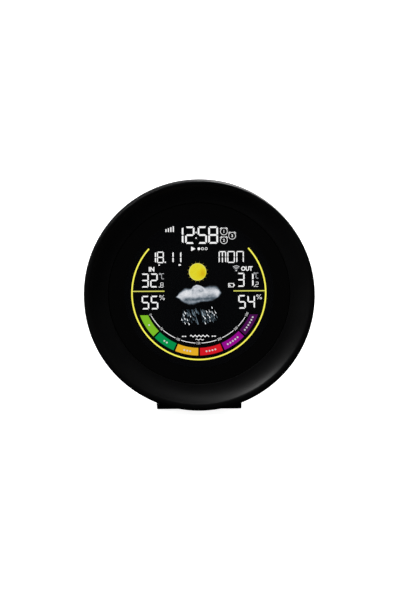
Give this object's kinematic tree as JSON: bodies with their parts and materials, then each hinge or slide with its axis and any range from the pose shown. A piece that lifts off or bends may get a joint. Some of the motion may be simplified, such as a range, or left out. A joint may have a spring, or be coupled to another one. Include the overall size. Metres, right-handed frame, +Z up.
{
  "type": "home weather station",
  "caption": "Round leaning table weather station with a dished case ring, flat window, backlit colour display, rear buttons, battery door and fold-out stand.",
  "frame": {"origin": "on the table, at the middle of the outline's base", "axes": "+Z up, the display faces -Y and leans back, +X to the right of someone who reads it"},
  "size_m": [0.19, 0.0772, 0.1921],
  "materials": {
    "case_plastic": "satin, fine moulded texture",
    "window": "smoked acrylic, polished, black print round the display",
    "tape": "black foam tape",
    "polariser": "dark film",
    "display_glass": "clear glass with a printed conductor pattern",
    "colour_film": "printed transparent film",
    "white_film": "white film",
    "light_guide": "clear acrylic",
    "white_plastic": "moulded",
    "lamp": "white lamp with yellow filling",
    "board": "green lacquer over copper tracks",
    "chip": "moulded",
    "steel": "zinc plated",
    "contact_metal": "plated",
    "contact_rubber": "striped silicone strip",
    "capacitor_sleeve": "printed sleeve",
    "button_plastic": "moulded",
    "foot_rubber": "soft, matt"
  },
  "bodies": {
    "case": {"front_bezel": "case_plastic", "display_lens": "window", "lens_adhesive": "tape", "lcd_front_polariser": "polariser", "lcd_front_glass": "display_glass", "lcd_rear_glass": "display_glass", "lcd_rear_polariser": "polariser", "colour_film": "colour_film", "diffuser_film": "white_film", "light_guide": "light_guide", "reflector_film": "white_film", "backlight_strips": "white_plastic", "backlight_leds": "lamp", "lcd_frame": "white_plastic", "frame_screws": "steel", "zebra_connector": "contact_rubber", "main_board": "board", "board_screws": "steel", "processor_chip": "chip", "memory_chip": "chip", "lcd_driver_chip": "chip", "voltage_regulator": "chip", "crystal": "steel", "capacitors": "capacitor_sleeve", "buzzer": "chip", "wifi_module": "steel", "radio_receiver": "board", "radio_antenna": "contact_metal", "climate_sensor": "white_plastic", "tact_switches": "chip", "power_jack": "chip", "power_jack_pin": "contact_metal", "coin_cell": "steel", "cell_plus_contact": "contact_metal", "cell_minus_contact": "contact_metal", "rear_housing": "case_plastic", "case_screws": "steel", "hinge_pins": "steel"},
    "stand": {"stand": "case_plastic", "foot_pads": "foot_rubber"},
    "battery_door": {"battery_door": "case_plastic"},
    "snooze_button": {"snooze_button": "button_plastic"},
    "set_button": {"set_button": "button_plastic"},
    "alarm_button": {"alarm_button": "button_plastic"},
    "channel_button": {"channel_button": "button_plastic"},
    "plus_button": {"plus_button": "button_plastic"},
    "minus_button": {"minus_button": "button_plastic"},
    "sensor_button": {"sensor_button": "button_plastic"}
  },
  "joints": [
    {"name": "stand_fold", "type": "hinge", "parent": "case", "child": "stand", "pos_m": [0, -0.01138, 0.0133], "axis": [1, 0, 0], "range_deg": [0, 82]},
    {"name": "door_turn", "type": "hinge", "parent": "case", "child": "battery_door", "pos_m": [0, 0.00863, 0.10358], "axis": [0, 0.9903, -0.1392], "range_deg": [0, 45]},
    {"name": "snooze_press", "type": "slide", "parent": "case", "child": "snooze_button", "axis": [0, -0.9903, 0.1392], "range_m": [0, 0.0008], "stiffness_N_per_m": 800, "springref_m": -0.0008},
    {"name": "set_press", "type": "slide", "parent": "case", "child": "set_button", "axis": [0, -0.9903, 0.1392], "range_m": [0, 0.0008], "stiffness_N_per_m": 800, "springref_m": -0.0008},
    {"name": "alarm_press", "type": "slide", "parent": "case", "child": "alarm_button", "axis": [0, -0.9903, 0.1392], "range_m": [0, 0.0008], "stiffness_N_per_m": 800, "springref_m": -0.0008},
    {"name": "channel_press", "type": "slide", "parent": "case", "child": "channel_button", "axis": [0, -0.9903, 0.1392], "range_m": [0, 0.0008], "stiffness_N_per_m": 800, "springref_m": -0.0008},
    {"name": "plus_press", "type": "slide", "parent": "case", "child": "plus_button", "axis": [0, -0.9903, 0.1392], "range_m": [0, 0.0008], "stiffness_N_per_m": 800, "springref_m": -0.0008},
    {"name": "minus_press", "type": "slide", "parent": "case", "child": "minus_button", "axis": [0, -0.9903, 0.1392], "range_m": [0, 0.0008], "stiffness_N_per_m": 800, "springref_m": -0.0008},
    {"name": "sensor_press", "type": "slide", "parent": "case", "child": "sensor_button", "axis": [0, -0.9903, 0.1392], "range_m": [0, 0.0008], "stiffness_N_per_m": 800, "springref_m": -0.0008}
  ]
}
